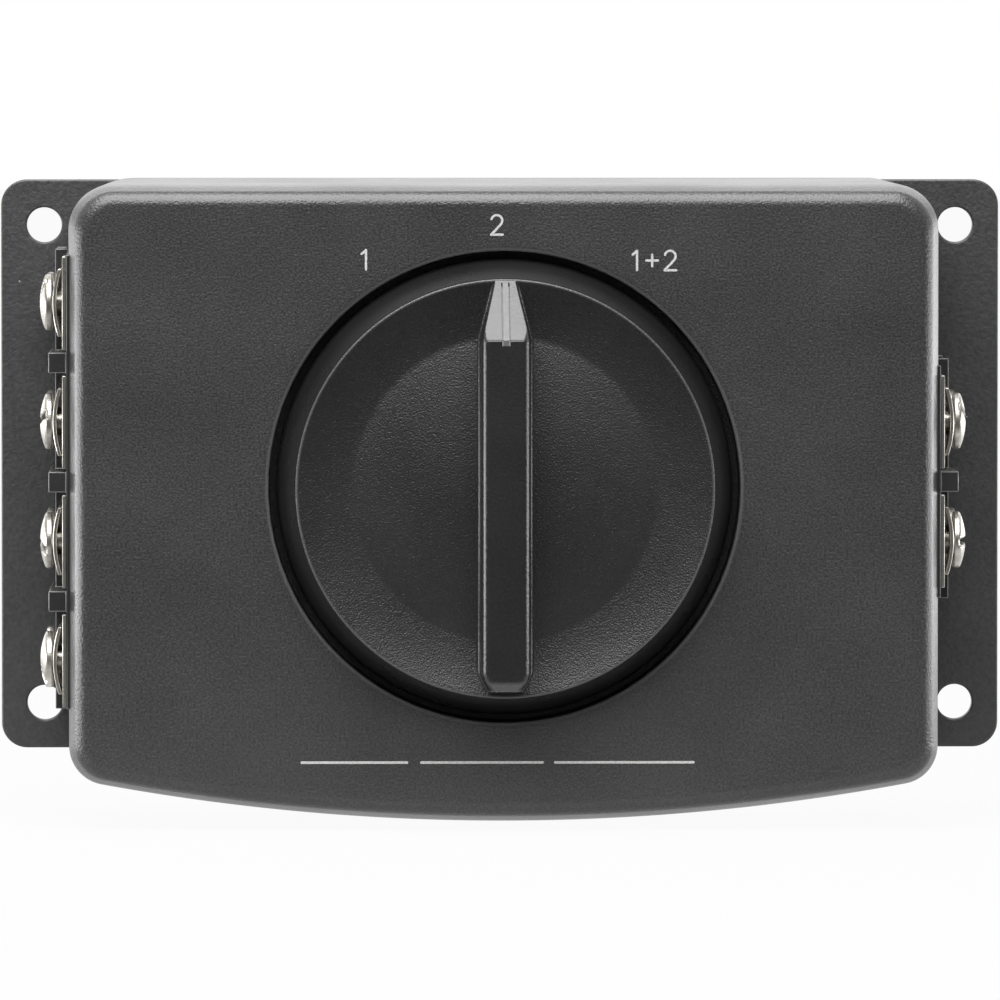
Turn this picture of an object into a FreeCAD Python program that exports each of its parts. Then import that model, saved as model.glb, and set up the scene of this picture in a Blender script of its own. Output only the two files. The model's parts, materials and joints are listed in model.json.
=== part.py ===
"""Speaker selector switch: a box with a rotary knob and screw terminals on its two sides.

Frame: X to the right, Z up, the front faces -Y. The origin is the centre of the four mounting
holes, on the rear face of the back plate. Millimetres.
"""
import FreeCAD, Part
import math
import os

Vec = FreeCAD.Vector

# back plate
plate_width = 120.0
plate_height = 68.4
plate_thick = 2.0
plate_corner = 3.1
hole_spacing_x = 109.6
hole_spacing_z = 57.5
hole_radius = 2.1

# cover: a drafted box whose lower edge bows down; its walls lean in more over the last few millimetres
cover_depth = 30.0
cover_half_width = 51.9        # at the back plate
cover_top = 34.4               # at the back plate
cover_bottom = -41.9           # lowest point of the bow, at the back plate
shoulder_depth = 4.0           # from the front to where the walls start to lean in
shoulder_draft = 0.5           # how much each side moves in from the plate to the shoulder
face_draft = 1.57              # and from the plate to the front
bow_radius = 263.0
top_corners = (7.9, 5.3, 4.6)     # radii at the plate, the shoulder and the front
bottom_corners = (5.8, 4.6, 3.9)
edge_fillet = 1.8
side_wall = 2.2
face_wall = 2.3

# dial
dial_z = -1.7
pocket_radius = 27.8
pocket_depth = 2.8
pocket_floor_wall = 2.0
pocket_lip = 0.3
trough_inner = 24.1            # a deeper ring around the pocket's floor takes the knob's skirt
trough_depth = 5.4

# knob, radii and heights above the cover's face
skirt_radius = 26.9
skirt_below_face = 4.2
skirt_straight = 2.7           # height of the skirt's upright part
rim_radius = 24.6
rim_height = 6.0
ring_inner_radius = 17.9
ring_inner_height = 5.0
dome_height = 6.1
knob_wall = 1.8
bar_height = 12.8
bar_half_width = 2.8
bar_side_draft = 0.25          # how much wider each side is at the rim's height
bar_flat_top = 17.6            # the flat runs between these two distances from the axis
bar_flat_bottom = -22.5
bar_tip = 24.45
bar_tail = -24.0
tip_half_width = 1.2
inlay_half_width = 0.33
inlay_depth = 0.45
inlay_gap = 0.1

# rotary switch
shaft_radius = 3.0
shaft_flat = 2.4               # distance of the flat from the axis
shaft_fit = 0.05
bushing_radius = 4.76
stud_offset = 15.0
stud_radius = 1.4
spacer_radius = 2.4
wafer_thick = 1.5
wafer_radius = 15.0
wafer_bore = 8.1
rotor_radius = 7.8
contact_count = 12
lug_tip_radius = 18.0
switch_half_angle = 30.0       # the knob turns this far to each side

# screw terminals
terminal_pitch = 14.1
terminal_rows = {"front": -22.8, "rear": -10.1}
block_z = -1.25
block_halves = {4: 27.4, 2: 14.3}     # half lengths of the blocks with four and two columns
ridge_lap = 0.5                # how far each end of a block laps over the cover's wall
base_face = 51.7
ridge_face = 53.2
ridge_thick = 1.2
rib_face = 53.8
rib_thick = 2.4
terminal_plate_thick = 0.47
terminal_plate_size = (10.0, 11.0)
clamp_size = 8.0
clamp_thick = 0.45
clamp_bow = 0.65
head_radius = 3.35
head_edge = 0.85
head_dome = 0.7
head_slot = (0.8, 0.85)        # width and depth
screw_radius = 1.7
screw_length = 8.5
screw_fit = 0.08
wire_radius = 0.7

# places along Y that follow from the sizes above
plate_front = -plate_thick
face_y = plate_front - cover_depth
face_inner = face_y + face_wall
floor_y = face_y + pocket_depth
floor_inner = floor_y + pocket_floor_wall
trough_inner_y = face_y + trough_depth + pocket_floor_wall
slot_front = face_y + shoulder_depth
hair = 0.03                    # clearance between fixed pieces that sit in each other's holes


def block(x0, x1, y0, y1, z0, z1):
    """Box between two corners."""
    return Part.makeBox(x1 - x0, y1 - y0, z1 - z0, Vec(x0, y0, z0))


def rod(radius, y0, y1, x=0.0, z=0.0):
    """Cylinder along Y."""
    return Part.makeCylinder(radius, y1 - y0, Vec(x, y0, z), Vec(0, 1, 0))


def rod_x(radius, x0, x1, y, z):
    """Cylinder along X."""
    return Part.makeCylinder(radius, x1 - x0, Vec(x0, y, z), Vec(1, 0, 0))


def prism(points, along):
    """Flat polygon pushed along a vector."""
    corners = [Vec(*p) for p in points]
    return Part.Face(Part.makePolygon(corners + corners[:1])).extrude(Vec(*along))


def turned(profile):
    """Solid of revolution about the dial's axis, from (radius, y) points."""
    corners = [Vec(r, y, dial_z) for r, y in profile]
    face = Part.Face(Part.makePolygon(corners + corners[:1]))
    return face.revolve(Vec(0, 0, dial_z), Vec(0, 1, 0), 360)


def about_dial(shape, degrees):
    """Copy turned about the dial's axis; positive runs clockwise from the front."""
    copy = shape.copy()
    copy.rotate(Vec(0, 0, dial_z), Vec(0, 1, 0), degrees)
    return copy


def hexagon(across_flats, y0, y1, x, z):
    """Hexagonal prism along Y."""
    reach = across_flats / math.sqrt(3)
    ring = [(x + reach * math.cos(math.radians(60 * k)), y0, z + reach * math.sin(math.radians(60 * k)))
            for k in range(6)]
    return prism(ring, (0, y1 - y0, 0))


def save(name, shape):
    shape.exportStep("parts/" + name + ".step")


def section_at(y):
    """How far the cover's sides have moved in at a depth, and its top and bottom corner radii."""
    if y > slot_front:
        part = (plate_front - y) / (plate_front - slot_front)
        ends = ((0.0, shoulder_draft), top_corners[:2], bottom_corners[:2])
    else:
        part = (slot_front - y) / (slot_front - face_y)
        ends = ((shoulder_draft, face_draft), top_corners[1:], bottom_corners[1:])
    return [a + (b - a) * part for a, b in ends]


def cover_outline(y, inset=0.0):
    """Closed outline of the cover at a depth: straight top and sides, bowed bottom, round corners."""
    drawn_in, rt, rb = section_at(y)
    drawn_in, rt, rb = drawn_in + inset, rt - inset, rb - inset
    half = cover_half_width - drawn_in
    top = cover_top - drawn_in
    low = cover_bottom + drawn_in
    bow = bow_radius - drawn_in
    bow_centre = low + bow
    corner_z = bow_centre - math.sqrt((bow - rb) ** 2 - (half - rb) ** 2)
    reach = bow / (bow - rb)
    foot = ((half - rb) * reach, bow_centre - (bow_centre - corner_z) * reach)
    mid_angle = math.atan2(foot[1] - corner_z, foot[0] - (half - rb)) / 2
    quarter = math.sqrt(0.5)

    def at(x, z):
        return Vec(x, y, z)

    edges = [
        Part.makeLine(at(-half + rt, top), at(half - rt, top)),
        Part.Arc(at(half - rt, top), at(half - rt + rt * quarter, top - rt + rt * quarter),
                 at(half, top - rt)).toShape(),
        Part.makeLine(at(half, top - rt), at(half, corner_z)),
        Part.Arc(at(half, corner_z),
                 at(half - rb + rb * math.cos(mid_angle), corner_z + rb * math.sin(mid_angle)),
                 at(*foot)).toShape(),
        Part.Arc(at(*foot), at(0, low), at(-foot[0], foot[1])).toShape(),
        Part.Arc(at(-foot[0], foot[1]),
                 at(-half + rb - rb * math.cos(mid_angle), corner_z + rb * math.sin(mid_angle)),
                 at(-half, corner_z)).toShape(),
        Part.makeLine(at(-half, corner_z), at(-half, top - rt)),
        Part.Arc(at(-half, top - rt), at(-half + rt - rt * quarter, top - rt + rt * quarter),
                 at(-half + rt, top)).toShape(),
    ]
    return Part.Wire(edges)


def wall_x(y):
    """Outer face of the cover's side wall at a depth."""
    return cover_half_width - section_at(y)[0]


# Back plate and cover.

post_places = [(x, z) for x in (-40.0, 40.0) for z in (27.5, -30.5)]
post_radius = 3.3
post_screw_radius = 1.5
post_screw_head = 2.9


def back_plate():
    half_x = plate_width / 2
    half_z = plate_height / 2
    flange = block(-half_x, half_x, plate_front, 0, -half_z, half_z)
    corners = [e for e in flange.Edges if abs(e.Vertexes[0].Y - e.Vertexes[-1].Y) > 1]
    flange = flange.makeFillet(plate_corner, corners)
    shadow = Part.Face(cover_outline(plate_front, 0.3)).extrude(Vec(0, plate_thick, 0))
    plate = flange.fuse(shadow).removeSplitter()
    for x in (-hole_spacing_x / 2, hole_spacing_x / 2):
        for z in (-hole_spacing_z / 2, hole_spacing_z / 2):
            plate = plate.cut(rod(hole_radius, plate_front - 1, 1, x, z))
    for x, z in post_places:
        plate = plate.cut(cover_screw(x, z, hair))
    return plate


def cover_screw(x, z, grow=0.0):
    """Flat-head screw, flush with the rear of the plate."""
    cone_depth = post_screw_head - post_screw_radius
    cone = Part.makeCone(post_screw_radius + grow, post_screw_head + grow, cone_depth,
                         Vec(x, -cone_depth, z), Vec(0, 1, 0))
    return cone.fuse(rod(post_screw_radius + grow, -10.0, -cone_depth, x, z)).removeSplitter()


def side_slot(side, columns):
    """Slot in the side wall, open towards the plate, that a terminal block slides into."""
    half = slot_half(columns)
    inner, outer = cover_half_width - 6, cover_half_width + 2
    x0, x1 = (inner, outer) if side > 0 else (-outer, -inner)
    return block(x0, x1, slot_front, plate_front + 1, block_z - half, block_z + half)


def slot_half(columns):
    return block_halves[columns] - ridge_lap


def cover():
    outer = Part.makeLoft([cover_outline(y) for y in (plate_front, slot_front, face_y)], True, True)
    front_edges = [e for e in outer.Edges if all(abs(v.Y - face_y) < 1e-6 for v in e.Vertexes)]
    outer = outer.makeFillet(edge_fillet, front_edges)
    hollow = Part.makeLoft([cover_outline(y, side_wall) for y in (plate_front, slot_front, face_inner)],
                           True, True)
    shell = outer.cut(hollow)
    shell = shell.fuse(rod(pocket_radius + 2.0, face_inner - 0.5, trough_inner_y, 0, dial_z))
    shell = shell.cut(rod(trough_inner - 2.0, floor_inner, trough_inner_y + 1, 0, dial_z))
    for x, z in post_places:
        shell = shell.fuse(rod(post_radius, face_inner - 0.5, plate_front, x, z))
    shell = shell.cut(rod(pocket_radius, face_y - 1, floor_y, 0, dial_z))
    shell = shell.cut(turned([(trough_inner, floor_y - 0.1), (pocket_radius, floor_y - 0.1),
                              (pocket_radius, face_y + trough_depth), (trough_inner, face_y + trough_depth)]))
    shell = shell.cut(turned([(0, face_y - 1), (pocket_radius + pocket_lip + 1, face_y - 1),
                              (pocket_radius, face_y + pocket_lip), (0, face_y + pocket_lip)]))
    shell = shell.cut(rod(bushing_radius + 0.2, floor_y - 1, floor_inner + 1, 0, dial_z))
    for x, z in post_places:
        shell = shell.cut(cover_screw(x, z, hair))
    for side, columns in ((-1, 4), (1, 2)):
        shell = shell.cut(side_slot(side, columns))
    return shell


# Knob.

def bar_solid():
    """Grip bar: one side outline, one tapered section and one plan, common to all three."""
    top = face_y - bar_height
    low = face_y - ring_inner_height + 1.0
    rim_y = face_y - rim_height
    wide = bar_half_width + bar_side_draft
    side_view = prism([(-wide, low, dial_z + bar_tail), (-wide, rim_y, dial_z + bar_tail),
                       (-wide, top, dial_z + bar_flat_bottom), (-wide, top, dial_z + bar_flat_top),
                       (-wide, rim_y, dial_z + bar_tip), (-wide, low, dial_z + bar_tip)],
                      (2 * wide, 0, 0))
    slope = bar_side_draft / (bar_height - rim_height)
    foot = bar_half_width + slope * (low - top)
    reach = bar_tip + 2
    section = prism([(-foot, low, dial_z - reach), (-bar_half_width, top, dial_z - reach),
                     (bar_half_width, top, dial_z - reach), (foot, low, dial_z - reach)],
                    (0, 0, 2 * reach))
    tip = tip_half_width
    plan = prism([(-foot, top - 1, dial_z - reach), (foot, top - 1, dial_z - reach),
                  (foot, top - 1, dial_z + bar_flat_top), (tip, top - 1, dial_z + bar_tip),
                  (-tip, top - 1, dial_z + bar_tip), (-foot, top - 1, dial_z + bar_flat_top)],
                 (0, low - top + 2, 0))
    return side_view.common(section).common(plan)


def inlay_strip(half_width, depth, proud, start, end):
    """Strip along the middle of the bar's sloping end, between two distances down the slope."""
    run, drop = bar_tip - bar_flat_top, bar_height - rim_height
    length = math.hypot(run, drop)
    along_z, along_y = run / length, drop / length

    def at(distance, lift):
        return (-half_width, face_y - bar_height + along_y * distance - along_z * lift,
                dial_z + bar_flat_top + along_z * distance + along_y * lift)

    return prism([at(start, proud), at(end, proud), at(end, -depth), at(start, -depth)],
                 (2 * half_width, 0, 0))


inlay_length = math.hypot(bar_tip - bar_flat_top, bar_height - rim_height) - 0.3


def pointer_inlay():
    """Filled line down the sloping end; its upper end is flush with the bar's flat."""
    strip = inlay_strip(inlay_half_width, inlay_depth, 0.0, -0.6, inlay_length)
    top = face_y - bar_height
    return strip.common(block(-1, 1, top, face_y, dial_z, dial_z + bar_tip + 1))


hub_end = face_y - 1.0
hub_radius = 6.0
shaft_tip = face_y - 4.6


def knob():
    bottom = face_y + skirt_below_face
    rim_y = face_y - rim_height
    ring_y = face_y - ring_inner_height
    dome_y = face_y - dome_height
    ceiling = ring_y + knob_wall
    rim_land = 0.25
    dip = 0.15
    dome_mid = (ring_inner_radius * 0.55, dome_y + 0.3 * (ring_y - dome_y))
    outer = [(0, bottom), (skirt_radius, bottom), (skirt_radius, bottom - skirt_straight),
             (rim_radius + 0.3, rim_y + 0.15), (rim_radius, rim_y), (rim_radius - rim_land, rim_y),
             ((rim_radius + ring_inner_radius) / 2, (rim_y + ring_y) / 2 + dip),
             (ring_inner_radius, ring_y), dome_mid, (0, dome_y)]
    body = turned(outer)
    body = body.fuse(bar_solid())
    hollow = turned([(hub_radius, bottom + 1), (skirt_radius - knob_wall, bottom + 1),
                     (skirt_radius - knob_wall, bottom - skirt_straight),
                     (rim_radius - knob_wall - 0.6, ceiling - 1.2),
                     (rim_radius - knob_wall - 1.8, ceiling), (hub_radius, ceiling)])
    body = body.cut(hollow)
    body = body.cut(rod(hub_radius + 0.5, hub_end, bottom + 1, 0, dial_z))
    bore = rod(shaft_radius + hair, shaft_tip - 0.1, bottom + 1, 0, dial_z)
    keep = block(-5, 5, shaft_tip - 1, bottom + 1, dial_z - shaft_flat - 0.35, dial_z + 5)
    body = body.cut(bore.common(keep))
    core_half = bar_half_width - 1.5
    for z0, z1 in ((bar_flat_bottom + 2.0, -hub_radius - 1.0), (hub_radius + 1.0, bar_flat_top - 1.5)):
        body = body.cut(block(-core_half, core_half, face_y - bar_height + 2.0, ceiling + 0.5,
                              dial_z + z0, dial_z + z1))
    groove = inlay_strip(inlay_half_width + inlay_gap, inlay_depth, 1.0, -1.0, inlay_length + 2.0)
    return body.cut(groove).removeSplitter()


def knob_spring():
    """Flat spring between the shaft's flat and the hub."""
    return block(-1.1, 1.1, shaft_tip + 0.2, hub_end - 0.2,
                 dial_z - shaft_flat - 0.32, dial_z - shaft_flat - 0.03)


# Rotary switch.

front_plate_y = floor_inner                  # its front face, against the cover
front_plate_thick = 1.2
front_plate_rear = front_plate_y + front_plate_thick
bushing_end = floor_y - 3.0
washer_thick = 0.5
nut_thick = 1.7
arm_front = front_plate_rear + 2.2
arm_thick = 0.6
arm_half_width = 2.5
arm_half_length = 9.6
ball_radius = 1.3
ball_offset = 8.0
ball_y = front_plate_rear + 0.05 + ball_radius
wafer_front = {"front": front_plate_rear + 7.5, "rear": front_plate_rear + 7.5 + 8.0}
stud_nut_thick = 2.0
shaft_rear = wafer_front["rear"] + wafer_thick + 3.0
clip_y = bushing_end - 0.07


def switch_shaft():
    shaft = rod(shaft_radius, shaft_tip, shaft_rear, 0, dial_z)
    low = dial_z - shaft_flat
    shaft = shaft.cut(block(-5, 5, shaft_tip - 1, hub_end + 0.1, low - 5, low))
    shaft = shaft.cut(block(-5, 5, arm_front - 0.1, shaft_rear + 1, low - 5, low))
    groove = rod(shaft_radius + 1, clip_y - 0.48, clip_y + 0.02, 0, dial_z)
    return shaft.cut(groove.cut(rod(shaft_radius - 0.5, clip_y - 1, clip_y + 1, 0, dial_z)))


def d_bore(y0, y1):
    """Bore with a flat that fits the rear of the shaft."""
    flat = dial_z - shaft_flat - hair
    return rod(shaft_radius + hair, y0, y1, 0, dial_z).common(block(-5, 5, y0, y1, flat, dial_z + 5))


def shaft_clip():
    ring = rod(4.6, clip_y - 0.45, clip_y, 0, dial_z)
    ring = ring.cut(rod(shaft_radius - 0.5 + hair, clip_y - 1, clip_y + 1, 0, dial_z))
    return ring.cut(block(-1.8, 1.8, clip_y - 1, clip_y + 1, dial_z, dial_z + 6))


def bushing():
    body = rod(bushing_radius, bushing_end, front_plate_rear, 0, dial_z)
    body = body.fuse(rod(6.0, front_plate_rear, front_plate_rear + 1.1, 0, dial_z))
    return body.cut(rod(shaft_radius + shaft_fit, bushing_end - 1, front_plate_rear + 2, 0, dial_z))


def lock_washer():
    ring = rod(7.5, floor_y - washer_thick, floor_y, 0, dial_z)
    ring = ring.cut(rod(bushing_radius + 0.15, floor_y - 2, floor_y + 1, 0, dial_z))
    for k in range(12):
        notch = block(-0.5, 0.5, floor_y - 2, floor_y + 1, dial_z + 6.6, dial_z + 8)
        ring = ring.cut(about_dial(notch, 30 * k + 15))
    return ring


def bushing_nut():
    rear = floor_y - washer_thick
    nut = hexagon(13.0, rear - nut_thick, rear, 0, dial_z)
    return nut.cut(rod(bushing_radius + hair, rear - 5, rear + 1, 0, dial_z))


def switch_front_plate():
    """Steel plate with six detent dimples and the two lugs that stop the detent arm."""
    plate = block(-18.5, 18.5, front_plate_y, front_plate_rear, dial_z - 13, dial_z + 13)
    corners = [e for e in plate.Edges if abs(e.Vertexes[0].Y - e.Vertexes[-1].Y) > 1]
    plate = plate.makeFillet(4.0, corners)
    plate = plate.cut(rod(bushing_radius + hair, front_plate_y - 1, front_plate_rear + 1, 0, dial_z))
    for x in (-stud_offset, stud_offset):
        plate = plate.cut(rod(stud_radius + hair, front_plate_y - 1, front_plate_rear + 1, x, dial_z))
    for end in (0, 180):
        for step in (-1, 0, 1):
            dimple = rod(0.9, front_plate_rear - 0.35, front_plate_rear + 1, 0, dial_z + ball_offset)
            plate = plate.cut(about_dial(dimple, end + step * switch_half_angle))
    gap = 0.3
    for side in (-1, 1):
        near = arm_half_width + gap
        x0, x1 = (near, near + 1.4) if side > 0 else (-near - 1.4, -near)
        lug = block(x0, x1, front_plate_rear - 0.5, arm_front + arm_thick + 0.3,
                    dial_z + 7.0, dial_z + 9.4)
        plate = plate.fuse(about_dial(lug, side * switch_half_angle))
    return plate.removeSplitter()


def detent_arm():
    """Spring strip on the shaft that carries the two balls in its holes."""
    arm = block(-arm_half_width, arm_half_width, arm_front, arm_front + arm_thick,
                dial_z - arm_half_length, dial_z + arm_half_length)
    arm = arm.fuse(rod(5.0, arm_front, arm_front + arm_thick + 1.2, 0, dial_z))
    for z in (-ball_offset, ball_offset):
        arm = arm.cut(rod(1.0, arm_front - 1, arm_front + arm_thick + 1, 0, dial_z + z))
    return arm.cut(d_bore(arm_front - 1, arm_front + arm_thick + 2)).removeSplitter()


def detent_balls():
    return Part.makeCompound([Part.makeSphere(ball_radius, Vec(0, ball_y, dial_z + z))
                              for z in (-ball_offset, ball_offset)])


def at_studs(make):
    return Part.makeCompound([make(x) for x in (-stud_offset, stud_offset)])


def tube(x, y0, y1):
    return rod(spacer_radius, y0, y1, x, dial_z).cut(rod(stud_radius + hair, y0 - 1, y1 + 1, x, dial_z))


def frame_hardware():
    front, rear = wafer_front["front"], wafer_front["rear"]
    wafer_back = rear + wafer_thick
    save("frame_studs", at_studs(lambda x: rod(stud_radius, front_plate_y, wafer_back + 2.8, x, dial_z)))
    save("front_spacers", at_studs(lambda x: tube(x, front_plate_rear, front)))
    save("rear_spacers", at_studs(lambda x: tube(x, front + wafer_thick, rear)))
    save("stud_nuts", at_studs(lambda x: hexagon(5.0, wafer_back, wafer_back + stud_nut_thick, x, dial_z)
                               .cut(rod(stud_radius + hair, wafer_back - 1, wafer_back + 4, x, dial_z))))


def wafer_stator(y):
    """Fixed ring of a switch wafer, with an ear for each stud."""
    ring = rod(wafer_radius, y, y + wafer_thick, 0, dial_z)
    ring = ring.fuse(block(-18.0, 18.0, y, y + wafer_thick, dial_z - 2.8, dial_z + 2.8))
    ring = ring.cut(rod(wafer_bore, y - 1, y + 3, 0, dial_z))
    for x in (-stud_offset, stud_offset):
        ring = ring.cut(rod(stud_radius + hair, y - 1, y + 3, x, dial_z))
    return ring.removeSplitter()


def wafer_rotor(y):
    return rod(rotor_radius, y, y + wafer_thick, 0, dial_z).cut(d_bore(y - 1, y + 3))


def rotor_blade(y):
    """Contact ring on the rotor's front, with a tongue that bridges neighbouring contacts."""
    ring = rod(7.4, y - 0.3, y, 0, dial_z).cut(rod(5.2, y - 1, y + 1, 0, dial_z))
    for degrees in (0, 90, 180, 270):
        slit = block(-0.6, 0.6, y - 1, y + 1, dial_z + 6.3, dial_z + 8.5)
        ring = ring.cut(about_dial(slit, degrees))
    return ring


def fixed_contacts(y):
    """Spring contacts around a wafer: a lug outside its edge and a finger over the rotor."""
    strip = [(lug_tip_radius, y), (9.9, y), (8.9, y - 0.6), (6.9, y - 0.6),
             (6.9, y - 0.95), (9.2, y - 0.95), (10.1, y - 0.35), (lug_tip_radius, y - 0.35)]
    made = prism([(-0.9, v, dial_z + r) for r, v in strip], (1.8, 0, 0))
    made = made.cut(rod(0.5, y - 2, y + 1, 0, dial_z + 16.6))
    return Part.makeCompound([about_dial(made, 15 + 30 * k) for k in range(contact_count)])


# Screw terminals, drawn for the right side and mirrored for the left.

plate_outer = base_face + terminal_plate_thick
collar_radius = 2.6
collar_length = 3.0
inner_face = 46.9
tail_end = 45.0
tail_offset = 4.2              # from the screw towards the back plate
tail_size = (0.5, 2.4)
clamp_seat = plate_outer + 0.05
clamp_crest = clamp_seat + clamp_bow + clamp_thick
head_inner = clamp_crest + 0.02


def column_places(columns):
    return [block_z + terminal_pitch * ((columns - 1) / 2 - k) for k in range(columns)]


def terminal_block(columns):
    """Block that slides into the cover's slot from behind, with a flange inside the wall."""
    half, slot = block_halves[columns], slot_half(columns) - 0.05
    rear, front = plate_front - 1.0, slot_front - 1.0
    skin = 0.05
    body = block(inner_face, base_face, slot_front + skin, plate_front, block_z - slot, block_z + slot)
    inside = slot + 1.5
    against_wall = [(wall_x(y) - side_wall - skin, y) for y in (plate_front, slot_front, front)]
    flange = [(inner_face, plate_front)] + against_wall + [(inner_face, front)]
    body = body.fuse(prism([(x, y, block_z - inside) for x, y in flange], (0, 0, 2 * inside)))
    middle = (terminal_rows["front"] + terminal_rows["rear"]) / 2
    for y0 in (rear - ridge_thick, middle - ridge_thick / 2):
        y1 = y0 + ridge_thick
        body = body.fuse(block(base_face - skin, ridge_face, y0, y1, block_z - slot, block_z + slot))
        body = body.fuse(block(wall_x(y1) + skin, ridge_face, y0, y1, block_z - half, block_z + half))
    places = column_places(columns)
    for z in places[:-1]:
        mid = z - terminal_pitch / 2
        body = body.fuse(block(base_face - skin, rib_face, slot_front + 0.1, rear,
                               mid - rib_thick / 2, mid + rib_thick / 2))
    for y in terminal_rows.values():
        for z in places:
            body = body.cut(rod_x(collar_radius + hair, base_face - collar_length - hair, base_face + 1, y, z))
            body = body.cut(rod_x(screw_radius + 0.2, inner_face - 1, base_face, y, z))
            thick, wide = tail_size[0] / 2 + hair, tail_size[1] / 2 + hair
            tail_y = y + tail_offset
            body = body.cut(block(inner_face - 1, base_face + 1, tail_y - thick, tail_y + thick,
                                  z - wide, z + wide))
    return body.removeSplitter()


def terminal_plate(y, z):
    """Contact plate with a tapped collar and a solder tail through the block."""
    deep, tall = terminal_plate_size
    plate = block(base_face, plate_outer, y - deep / 2, y + deep / 2, z - tall / 2, z + tall / 2)
    plate = plate.fuse(rod_x(collar_radius, base_face - collar_length, base_face + 0.1, y, z))
    thick, wide = tail_size[0] / 2, tail_size[1] / 2
    tail_y = y + tail_offset
    plate = plate.fuse(block(tail_end, base_face + 0.1, tail_y - thick, tail_y + thick, z - wide, z + wide))
    plate = plate.cut(rod_x(screw_radius + screw_fit, base_face - 5, plate_outer + 1, y, z))
    return plate.removeSplitter()


def terminal_clamp(y, z):
    """Square washer bowed outwards, as an arc with a thickness."""
    half = clamp_size / 2

    def arc(crest, foot, start, end):
        return Part.Arc(Vec(foot, y - half, z + start), Vec(crest, y - half, z),
                        Vec(foot, y - half, z + end)).toShape()

    inner_crest = clamp_seat + clamp_bow
    outer_foot = clamp_seat + clamp_thick
    outer = arc(clamp_crest, outer_foot, -half, half)
    inner = arc(inner_crest, clamp_seat, half, -half)
    ends = [Part.makeLine(Vec(outer_foot, y - half, z + half), Vec(clamp_seat, y - half, z + half)),
            Part.makeLine(Vec(clamp_seat, y - half, z - half), Vec(outer_foot, y - half, z - half))]
    bowed = Part.Face(Part.Wire([outer, ends[0], inner, ends[1]])).extrude(Vec(0, clamp_size, 0))
    return bowed.cut(rod_x(screw_radius + 0.15, clamp_seat - 1, clamp_crest + 1, y, z))


def terminal_screw(y, z, slot_turn):
    """Screw with a domed, slotted head."""
    edge, crown = head_inner + head_edge, head_inner + head_edge + head_dome
    dome = (head_radius ** 2 + head_dome ** 2) / (2 * head_dome)
    mid_r = head_radius / 2
    mid_x = crown - dome + math.sqrt(dome ** 2 - mid_r ** 2)
    corners = [Vec(crown, y, z), Vec(head_inner, y, z), Vec(head_inner, y, z + head_radius),
               Vec(edge, y, z + head_radius)]
    sides = [Part.makeLine(a, b) for a, b in zip(corners, corners[1:])]
    sides.append(Part.Arc(corners[3], Vec(mid_x, y, z + mid_r), corners[0]).toShape())
    head = Part.Face(Part.Wire(sides)).revolve(Vec(0, y, z), Vec(1, 0, 0), 360)
    wide, deep = head_slot
    slot = block(crown - deep, crown + 1, y - wide / 2, y + wide / 2, z - 5, z + 5)
    slot.rotate(Vec(0, y, z), Vec(1, 0, 0), slot_turn)
    return head.fuse(rod_x(screw_radius, head_inner - screw_length, head_inner, y, z)).cut(slot)


def wire(points):
    """Insulated lead along straight runs with round joints."""
    made = Part.makeSphere(wire_radius, points[0])
    for a, b in zip(points, points[1:]):
        run = b - a
        made = made.fuse(Part.makeCylinder(wire_radius, run.Length, a, run))
        made = made.fuse(Part.makeSphere(wire_radius, b))
    return made


def terminal_wires(columns, side):
    """One lead from a wafer's lug to each terminal's tail."""
    spread = [15 + 30 * k - 15 * columns for k in range(columns)]
    leads = []
    for row, y in terminal_rows.items():
        contact_y = wafer_front[row] - 0.2
        for angle, z in zip(spread, reversed(column_places(columns))):
            c, s = math.cos(math.radians(angle)), math.sin(math.radians(angle))
            near, out = lug_tip_radius + wire_radius + 0.05, lug_tip_radius + 3.0
            tail_y = y + tail_offset
            route = [(near * c, contact_y, dial_z + near * s), (out * c, contact_y, dial_z + out * s),
                     (tail_end - 3.0, tail_y, z), (tail_end - wire_radius - 0.05, tail_y, z)]
            leads.append(wire([Vec(side * x, v, w) for x, v, w in route]))
    return Part.makeCompound(leads)


def mirrored(shape, side):
    return shape if side > 0 else shape.mirror(Vec(0, 0, 0), Vec(1, 0, 0))


def terminals(side_name, side, columns):
    save(side_name + "_terminal_block", mirrored(terminal_block(columns), side))
    plates = []
    for row, y in terminal_rows.items():
        for number, z in enumerate(column_places(columns), 1):
            plates.append(mirrored(terminal_plate(y, z), side))
            turn = 37 * number + 61 * (row == "rear") + 20 * (side > 0)
            place = "_%s_%d" % (row, number)
            save(side_name + "_screw" + place, mirrored(terminal_screw(y, z, turn), side))
            save(side_name + "_clamp" + place, mirrored(terminal_clamp(y, z), side))
    save(side_name + "_terminal_plates", Part.makeCompound(plates))
    save(side_name + "_wires", terminal_wires(columns, side))


os.makedirs("parts", exist_ok=True)
save("back_plate", back_plate())
save("cover", cover())
save("cover_screws", Part.makeCompound([cover_screw(x, z) for x, z in post_places]))
save("knob", knob())
save("pointer_inlay", pointer_inlay())
save("knob_spring", knob_spring())
save("switch_shaft", switch_shaft())
save("shaft_clip", shaft_clip())
save("bushing", bushing())
save("lock_washer", lock_washer())
save("bushing_nut", bushing_nut())
save("switch_front_plate", switch_front_plate())
save("detent_arm", detent_arm())
save("detent_balls", detent_balls())
frame_hardware()
for row, y in wafer_front.items():
    save(row + "_wafer", wafer_stator(y))
    save(row + "_rotor", wafer_rotor(y))
    save(row + "_blade", rotor_blade(y))
    save(row + "_contacts", fixed_contacts(y))
terminals("left", -1, 4)
terminals("right", 1, 2)
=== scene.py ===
import json
import math
import bmesh
import bpy
import numpy as np
from mathutils import Matrix, Vector


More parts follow.
